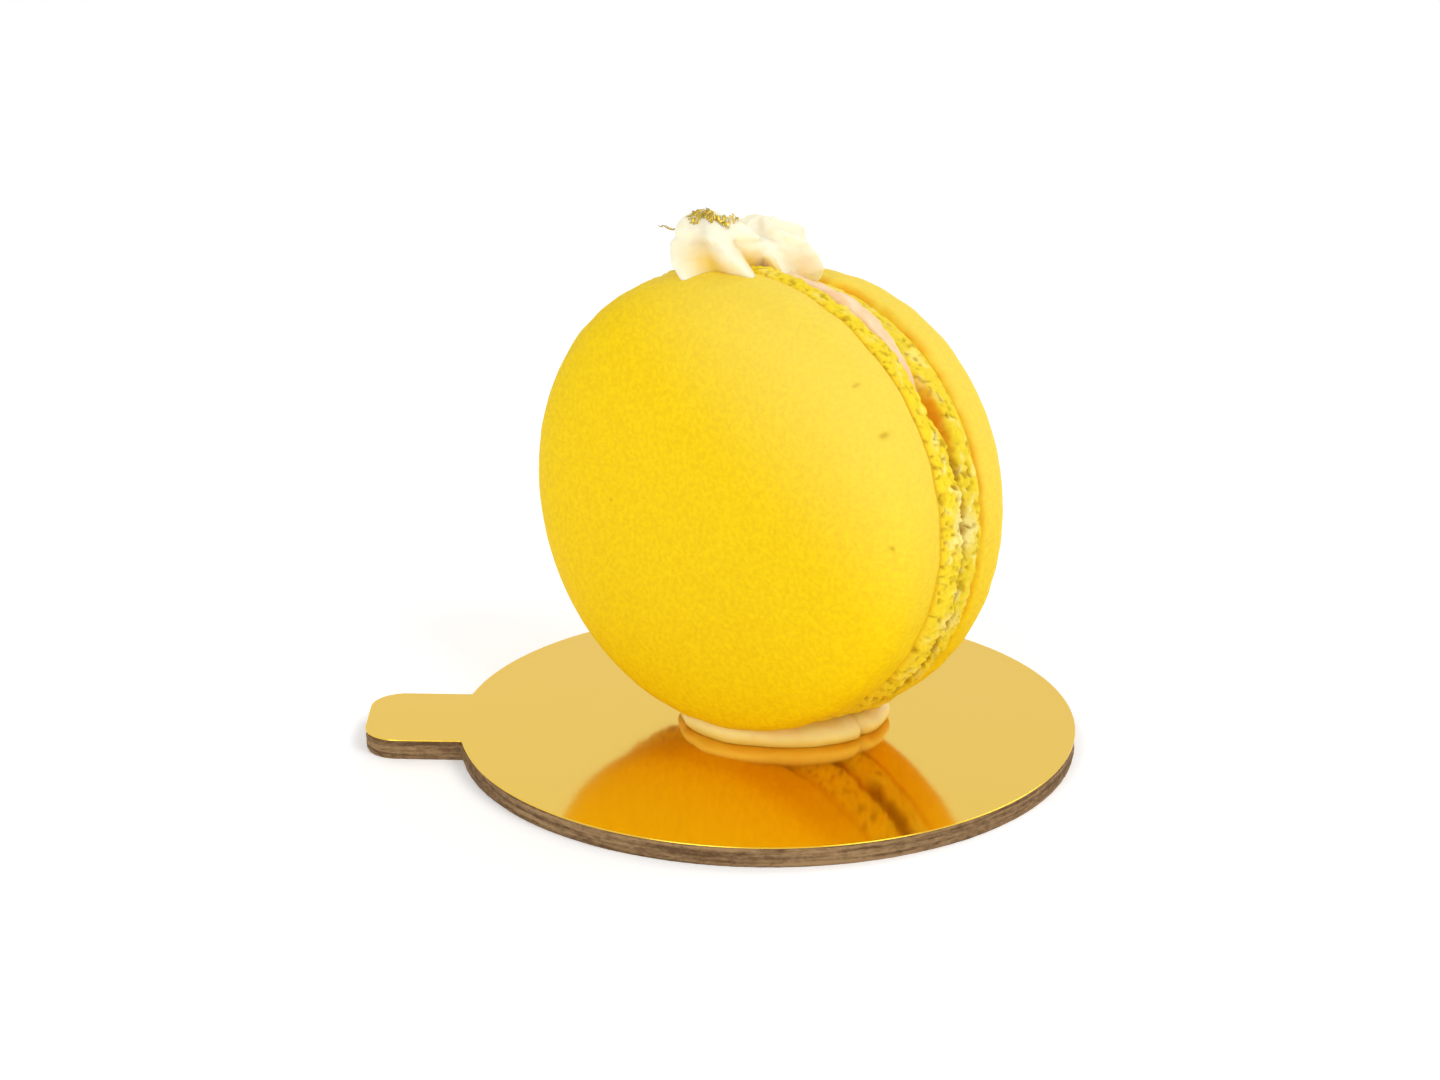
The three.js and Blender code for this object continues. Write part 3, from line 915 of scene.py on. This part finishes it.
def fused(shape):
    """One skin round all the bodies of a shape, by a voxel remesh."""
    mesh = bpy.data.meshes.new("cream")
    shape.to_mesh(mesh)
    block = bpy.data.objects.new("cream", mesh)
    bpy.context.scene.collection.objects.link(block)
    remesh = block.modifiers.new("remesh", "REMESH")
    remesh.mode = "VOXEL"
    remesh.voxel_size = CREAM_VOXEL
    graph = bpy.context.evaluated_depsgraph_get()
    shape.clear()
    shape.from_mesh(bpy.data.meshes.new_from_object(block.evaluated_get(graph)))
    bpy.data.objects.remove(block)
    return shape


class MACARON_OT_rosette(bpy.types.Operator):
    """Pipe the two cream stars on top"""

    bl_idname = "macaron.rosette"
    bl_label = "Cream stars"

    def execute(self, context):
        shape = star(FRONT_STAR)
        join(shape, star(BACK_STAR))
        shape = fused(shape)
        every_way = {"use_axis_x": True, "use_axis_y": True, "use_axis_z": True}
        bmesh.ops.smooth_vert(shape, verts=shape.verts, factor=CREAM_EASE, **every_way)
        shape.normal_update()
        hollow = shape.verts.layers.float.new("hollow")
        for vert in shape.verts:
            here = vert.co
            in_front = here.y < STARS_MEET
            # Painted shade in the stars' valleys, fainter on the back star
            vert[hollow] = valley(FRONT_STAR, here) if in_front else 0.4 * valley(BACK_STAR, here)
            relief = 0.14 * noise.noise(here / 1.6) + 0.05 * noise.noise(here / 0.55)
            vert.co = here + vert.normal * relief
        close_up(shape)
        material = butter_cream("piped butter cream", context.scene.macaron_cream.cream)
        finish_piece("piped_cream", shape, material, "cream", "cream_rosette", place=macaron_place())
        return {"FINISHED"}


LEAF_LOWEST = 29.1  # no scrap of leaf lies lower than this, in the macaron's frame
LEAF_CUTS = (30, 24)
LEAF_HOLES = 0.36  # the lower this is, the more holes the leaf has
LEAF_DROP = 40  # scraps fall onto the cream from this height
# Where each scrap lies on the front star in the macaron's frame, its half sizes, its turn and how steeply it
# stands up towards the back. The last one sticks out of the cream, at a level of its own
LEAF_SCRAPS = (
    {"at": (-7.2, -5.6), "half": (1.4, 0.8), "turn": 0.3, "steep": 0.1, "seed": 1},
    {"at": (-5.4, -5.6), "half": (1.5, 0.8), "turn": -0.2, "steep": 0.15, "seed": 2},
    {"at": (-3.9, -5.2), "half": (1, 0.7), "turn": 0.5, "steep": 0.2, "seed": 3},
    {"at": (-4.8, -6.3), "half": (0.7, 0.45), "turn": -0.5, "steep": 0, "seed": 4},
    {"at": (-3, -4.2), "half": (0.6, 0.4), "turn": 0.2, "steep": 0.7, "seed": 5},
    {"at": (-10.5, -5.6), "half": (2, 0.3), "turn": 0.1, "steep": 0, "seed": 6, "level": LEAF_LOWEST},
)


class MACARON_OT_gold_leaf(bpy.types.Operator):
    """Lay crumpled flakes of gold leaf on the front star"""

    bl_idname = "macaron.gold_leaf"
    bl_label = "Gold leaf"

    def execute(self, context):
        cream = bpy.data.objects["piped_cream"]
        place = Matrix.Scale(MM, 4) @ macaron_place()
        away = place.inverted()
        graph = context.evaluated_depsgraph_get()
        skin = BVHTree.FromObject(cream, graph)
        leaf = bmesh.new()
        for scrap in LEAF_SCRAPS:
            sheet = bmesh.new()
            bmesh.ops.create_grid(sheet, x_segments=LEAF_CUTS[0], y_segments=LEAF_CUTS[1], size=1)
            seed = Vector((scrap["seed"] * 9, 0, 0))
            torn = []
            for vert in sheet.verts:
                point = vert.co.copy()
                angle = math.atan2(point.y, point.x)
                around = Vector((math.cos(angle) * 2.5, math.sin(angle) * 2.5, 0))
                reach = 0.8 + 0.5 * noise.noise(around + seed)
                lace = noise.noise(Vector((3.2 * point.x, 3.2 * point.y, 5)) + seed)
                if point.length > reach or lace > LEAF_HOLES:
                    torn.append(vert)
                spot = Matrix.Rotation(scrap["turn"], 2) @ Vector(
                    (point.x * scrap["half"][0], point.y * scrap["half"][1])
                )
                across = scrap["at"][0] + spot.x
                back = scrap["at"][1] + spot.y
                above = place @ Vector((across, back, LEAF_DROP))
                down = place.to_3x3() @ Vector((0, 0, -1))
                hit = skin.ray_cast(above, down.normalized())[0]
                ground = scrap.get("level") or max((away @ hit).z if hit else 0, LEAF_LOWEST)
                fold = abs(noise.noise(Vector((1.4 * spot.x, 1.4 * spot.y, 3)) + seed))
                fine = abs(noise.noise(Vector((4.5 * spot.x, 4.5 * spot.y, 8)) + seed))
                lift = 0.6 * fold + 0.35 * fine + scrap["steep"] * (spot.y + 0.6 * scrap["half"][1])
                vert.co = (across, back, ground + max(0.03, lift))
            bmesh.ops.delete(sheet, geom=torn, context="VERTS")
            bmesh.ops.recalc_face_normals(sheet, faces=sheet.faces)
            bmesh.ops.solidify(sheet, geom=sheet.faces, thickness=context.scene.macaron_leaf.thickness / MM)
            join(leaf, sheet)
        close_up(leaf)
        finish_piece("gold_leaf", leaf, gold_leaf(), "gold_leaf", place=macaron_place())
        return {"FINISHED"}


def card_outline(shrink):
    """A flat face with the card's outline, drawn in by shrink: the disc's arc and a round tab."""
    shape = bmesh.new()
    radius = CARD_RADIUS - shrink
    half = TAB_WIDTH / 2 - shrink
    meet = math.asin(half / radius)
    first = shape.verts.new((-radius * math.cos(meet), -half, 0))
    steps = round((math.tau - 2 * meet) * radius / EDGE_STEP)
    bmesh.ops.spin(
        shape,
        geom=[first],
        cent=(0, 0, 0),
        axis=(0, 0, 1),
        angle=math.tau - 2 * meet,
        steps=steps,
        use_merge=False,
    )
    # In order round the disc from the tab's near side, with a hair's breadth so that the first stays first
    start = math.pi + meet - 1e-6
    chain = sorted(shape.verts, key=lambda vert: (math.atan2(vert.co.y, vert.co.x) - start) % math.tau)
    corners = [shape.verts.new((-TAB_REACH + shrink, side, 0)) for side in (half, -half)]
    face = shape.faces.new(chain + corners)
    bmesh.ops.bevel(
        shape, geom=corners, offset=TAB_CORNER, segments=14, profile=0.5, affect="VERTICES", material=-1
    )
    for edge in [e for e in shape.edges if e.calc_length() > 2 * EDGE_STEP]:
        cuts = round(edge.calc_length() / EDGE_STEP) - 1
        bmesh.ops.subdivide_edges(shape, edges=[edge], cuts=cuts)
    bmesh.ops.recalc_face_normals(shape, faces=shape.faces)
    if face.is_valid and face.normal.z < 0:
        bmesh.ops.reverse_faces(shape, faces=shape.faces)
    return shape


def raise_face(shape, heights):
    """Extrudes a flat face upwards in steps. The first face stays as the underside, and the faces between
    the steps are taken away."""
    top = shape.faces[:]
    for step, height in enumerate(heights):
        made = bmesh.ops.extrude_face_region(shape, geom=top)["geom"]
        if step > 0:
            bmesh.ops.delete(shape, geom=[face for face in top if face.is_valid], context="FACES")
        top = [item for item in made if isinstance(item, bmesh.types.BMFace)]
        for vert in {v for face in top for v in face.verts}:
            vert.co.z = height


class MACARON_OT_card(bpy.types.Operator):
    """Cut the round board with its tab and lay the gold foil on it"""

    bl_idname = "macaron.card"
    bl_label = "Card"

    def execute(self, context):
        board = card_outline(FOIL_OVERHANG)
        board_top = CARD_THICKNESS - FOIL_THICKNESS
        raise_face(board, [board_top * (i + 1) / EDGE_LAYERS for i in range(EDGE_LAYERS)])
        bmesh.ops.recalc_face_normals(board, faces=board.faces)
        board.normal_update()
        for vert in board.verts:
            side = Vector((vert.normal.x, vert.normal.y, 0)).normalized()
            here = vert.co
            plies = noise.noise(Vector((here.x / 6, here.y / 6, here.z / 0.3)))
            fibre = noise.noise(Vector((here.x / 0.9, here.y / 0.9, here.z / 0.25)))
            rounding = 0.1 * max(0, 1 - here.z / 0.16) ** 2
            vert.co = here + side * (0.06 * plies + 0.05 * fibre - 0.08 - rounding)
        close_up(board)
        finish_piece("paper_board", board, greyboard(), "board", "card")

        foil = card_outline(0)
        raise_face(foil, [FOIL_THICKNESS])
        bmesh.ops.recalc_face_normals(foil, faces=foil.faces)
        rim = [e for e in foil.edges if min(v.co.z for v in e.verts) > FOIL_THICKNESS / 2]
        bmesh.ops.bevel(
            foil, geom=rim, offset=FOIL_ROUNDING, segments=4, profile=0.5, affect="EDGES", material=-1
        )
        close_up(foil)
        place = Matrix.Translation((0, 0, board_top))
        finish_piece("gold_foil", foil, gold_foil(), "card", place=place)
        return {"FINISHED"}


def area_light(name, place, aim, size, power):
    data = bpy.data.lights.new(name, "AREA")
    data.shape = "DISK"
    data.size = size
    data.energy = power
    lamp = bpy.data.objects.new(name, data)
    lamp.location = place
    lamp.rotation_euler = (Vector(aim) - Vector(place)).to_track_quat("-Z", "Y").to_euler()
    bpy.context.scene.collection.objects.link(lamp)


class MACARON_OT_studio(bpy.types.Operator):
    """Set up the pale floor, the soft lights and the camera"""

    bl_idname = "macaron.studio"
    bl_label = "Studio"

    def execute(self, context):
        look = context.scene.macaron_studio
        floor = bmesh.new()
        bmesh.ops.create_grid(floor, x_segments=1, y_segments=1, size=FLOOR_SIZE)
        mesh = bpy.data.meshes.new("floor")
        floor.to_mesh(mesh)
        floor.free()
        table = new_material("lit white acrylic table")
        shader = add_node(
            table,
            "BsdfPrincipled",
            {
                "Base Color": opaque(look.floor),
                "Roughness": 0.95,
                "Emission Color": opaque(look.floor),
                "Emission Strength": look.glow,
            },
        )
        add_node(table, "OutputMaterial", {"Surface": shader.outputs[0]})
        mesh.materials.append(table)
        ground = bpy.data.objects.new("floor", mesh)
        context.scene.collection.objects.link(ground)

        world = bpy.data.worlds.new("white surround")
        world.use_nodes = True
        way = add_node(world, "TexCoord", {}).outputs["Generated"]
        parts = add_node(world, "SeparateXYZ", {0: way})
        glow = add_node(
            world,
            "MapRange",
            {"Value": parts.outputs["Y"], "From Max": 0.6, "To Min": look.surround, "To Max": look.backdrop},
            interpolation_type="SMOOTHSTEP",
        )
        # The foil and the glossy skins mirror an evenly bright room
        mirrored = add_node(world, "LightPath", {}).outputs["Is Glossy Ray"]
        strength = add_node(
            world, "Mix", {0: mirrored, 2: glow.outputs[0], 3: look.backdrop}, data_type="FLOAT"
        )
        background = world.node_tree.nodes["Background"]
        background.inputs["Color"].default_value = (1, 1, 1, 1)
        world.node_tree.links.new(strength.outputs[0], background.inputs["Strength"])
        context.scene.world = world

        middle = (0, 0, 0.03)
        area_light("key", (0.45, -0.42, 0.62), middle, 0.45, look.key)
        area_light("rim", (0.5, 0.4, 0.6), middle, 0.4, look.rim)
        area_light("fill", (-0.35, -0.75, 0.45), middle, 0.5, look.fill)

        lens = bpy.data.cameras.new("camera")
        lens.lens = CAMERA_LENS
        lens.clip_start = 0.01
        camera = bpy.data.objects.new("camera", lens)
        camera.location = CAMERA_PLACE
        camera.rotation_euler = (math.pi / 2 - CAMERA_DOWN, 0, CAMERA_TURN)
        context.scene.collection.objects.link(camera)
        context.scene.camera = camera
        context.scene.view_settings.view_transform = "Standard"
        return {"FINISHED"}


class MACARON_PT_parts(bpy.types.Panel):
    """Lists the macaron's pieces"""

    bl_label = "Macaron"
    bl_space_type = "VIEW_3D"
    bl_region_type = "UI"
    bl_category = "Macaron"

    def draw(self, context):
        for operator in OPERATORS:
            self.layout.operator(operator.bl_idname)


SETTINGS = {
    "macaron_shell": ShellSettings,
    "macaron_cream": CreamSettings,
    "macaron_card": CardSettings,
    "macaron_leaf": LeafSettings,
    "macaron_studio": StudioSettings,
}
OPERATORS = (
    MACARON_OT_studio,
    MACARON_OT_card,
    MACARON_OT_cream_base,
    MACARON_OT_shells,
    MACARON_OT_filling,
    MACARON_OT_rosette,
    MACARON_OT_gold_leaf,
)


def register():
    for name, group in SETTINGS.items():
        bpy.utils.register_class(group)
        setattr(bpy.types.Scene, name, PointerProperty(type=group))
    for kind in (*OPERATORS, MACARON_PT_parts):
        bpy.utils.register_class(kind)


def unregister():
    for kind in (MACARON_PT_parts, *reversed(OPERATORS)):
        bpy.utils.unregister_class(kind)
    for name, group in SETTINGS.items():
        delattr(bpy.types.Scene, name)
        bpy.utils.unregister_class(group)


def main():
    register()
    bpy.ops.macaron.studio()
    bpy.ops.macaron.card()
    bpy.ops.macaron.cream_base()
    bpy.ops.macaron.shells()
    bpy.ops.macaron.filling()
    bpy.ops.macaron.rosette()
    bpy.ops.macaron.gold_leaf()


if __name__ == "__main__":
    main()
